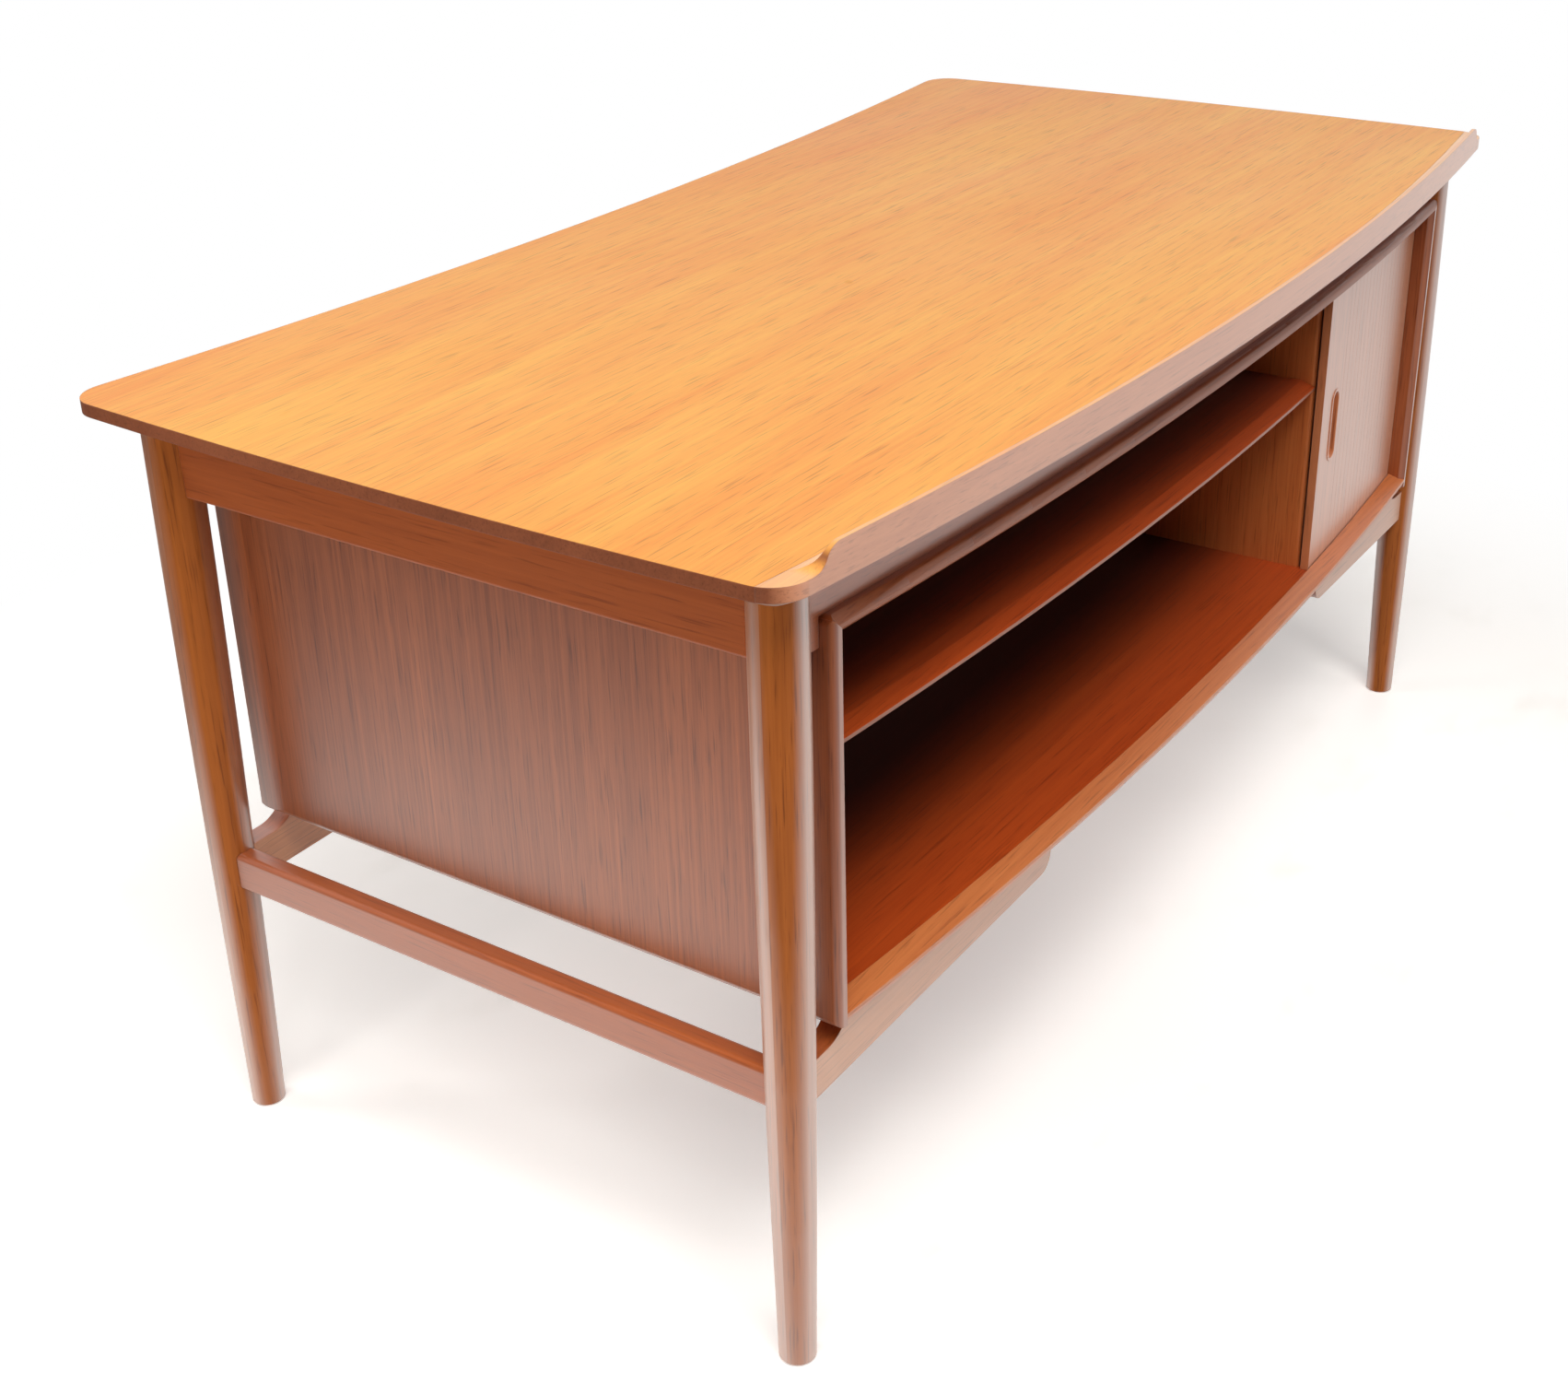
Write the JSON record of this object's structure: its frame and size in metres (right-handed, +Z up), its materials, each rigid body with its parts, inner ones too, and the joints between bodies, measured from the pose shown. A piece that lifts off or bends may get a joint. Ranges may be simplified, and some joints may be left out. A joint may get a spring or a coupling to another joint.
{
  "type": "writing desk",
  "caption": "Wooden writing desk with a bowed bookcase side, sliding tambour door, drawer pedestals, raised lip and round tapered legs.",
  "frame": {"origin": "on the floor, under the middle of the desk top's box", "axes": "+X along the desk, to the right for someone who faces the bookcase side; +Y from the bookcase side to the sitting side; +Z up"},
  "size_m": [1.492, 0.784, 0.748],
  "materials": {
    "top_veneer": "satin oiled veneer",
    "top_lip_wood": "satin oiled solid wood",
    "leg_wood": "satin oiled solid wood",
    "frame_wood": "satin oiled solid wood",
    "case_veneer": "satin oiled veneer",
    "inner_veneer": "satin oiled veneer",
    "lipping_wood": "satin oiled solid wood",
    "door_wood": "satin oiled solid wood",
    "drawer_front_veneer": "satin oiled veneer",
    "drawer_wood": "plain sanded secondary wood",
    "canvas": "woven backing cloth",
    "screw_steel": "plain steel",
    "pin_steel": "plain steel"
  },
  "bodies": {
    "desk": {"bookcase_apron": "frame_wood", "bookcase_back": "inner_veneer", "bookcase_bottom": "inner_veneer", "bookcase_bottom_lipping": "lipping_wood", "bookcase_divider": "inner_veneer", "bookcase_shelf": "inner_veneer", "bookcase_top": "inner_veneer", "bracket_bookcase_left": "frame_wood", "bracket_bookcase_right": "frame_wood", "bracket_screws": "screw_steel", "bracket_sitting_left": "frame_wood", "bracket_sitting_right": "frame_wood", "case_side_left": "case_veneer", "case_side_right": "case_veneer", "drawer_runners_left": "drawer_wood", "drawer_runners_right": "drawer_wood", "end_apron_left": "frame_wood", "end_apron_right": "frame_wood", "end_stretcher_left": "frame_wood", "end_stretcher_right": "frame_wood", "leg_bookcase_left": "leg_wood", "leg_bookcase_right": "leg_wood", "leg_sitting_left": "leg_wood", "leg_sitting_right": "leg_wood", "pedestal_bottom_left": "inner_veneer", "pedestal_bottom_right": "inner_veneer", "pedestal_inner_side_left": "inner_veneer", "pedestal_inner_side_right": "inner_veneer", "pedestal_top_left": "inner_veneer", "pedestal_top_right": "inner_veneer", "shelf_pins": "pin_steel", "sitting_apron": "frame_wood", "top_cleats": "drawer_wood", "top_lip": "top_lip_wood", "top_panel": "top_veneer", "top_screws": "screw_steel"},
    "drawer_left_lower": {"drawer_left_lower_bottom": "drawer_wood", "drawer_left_lower_box": "drawer_wood", "drawer_left_lower_front": "drawer_front_veneer"},
    "drawer_left_middle": {"drawer_left_middle_bottom": "drawer_wood", "drawer_left_middle_box": "drawer_wood", "drawer_left_middle_front": "drawer_front_veneer"},
    "drawer_left_upper": {"drawer_left_upper_bottom": "drawer_wood", "drawer_left_upper_box": "drawer_wood", "drawer_left_upper_front": "drawer_front_veneer"},
    "drawer_right_lower": {"drawer_right_lower_bottom": "drawer_wood", "drawer_right_lower_box": "drawer_wood", "drawer_right_lower_front": "drawer_front_veneer"},
    "drawer_right_middle": {"drawer_right_middle_bottom": "drawer_wood", "drawer_right_middle_box": "drawer_wood", "drawer_right_middle_front": "drawer_front_veneer"},
    "drawer_right_upper": {"drawer_right_upper_bottom": "drawer_wood", "drawer_right_upper_box": "drawer_wood", "drawer_right_upper_front": "drawer_front_veneer"},
    "tambour_door": {"tambour_canvas": "canvas", "tambour_lead_stile": "door_wood", "tambour_pull": "door_wood", "tambour_slats": "door_wood"}
  },
  "joints": [
    {"name": "door_slide", "type": "hinge", "parent": "desk", "child": "tambour_door", "pos_m": [0, 7.03291, 0.49], "axis": [0, 0, -1], "range_deg": [0, 7.4]},
    {"name": "drawer_left_lower_slide", "type": "slide", "parent": "desk", "child": "drawer_left_lower", "axis": [0, 1, 0], "range_m": [0, 0.22]},
    {"name": "drawer_left_middle_slide", "type": "slide", "parent": "desk", "child": "drawer_left_middle", "axis": [0, 1, 0], "range_m": [0, 0.22]},
    {"name": "drawer_left_upper_slide", "type": "slide", "parent": "desk", "child": "drawer_left_upper", "axis": [0, 1, 0], "range_m": [0, 0.22]},
    {"name": "drawer_right_lower_slide", "type": "slide", "parent": "desk", "child": "drawer_right_lower", "axis": [0, 1, 0], "range_m": [0, 0.22]},
    {"name": "drawer_right_middle_slide", "type": "slide", "parent": "desk", "child": "drawer_right_middle", "axis": [0, 1, 0], "range_m": [0, 0.22]},
    {"name": "drawer_right_upper_slide", "type": "slide", "parent": "desk", "child": "drawer_right_upper", "axis": [0, 1, 0], "range_m": [0, 0.22]}
  ]
}
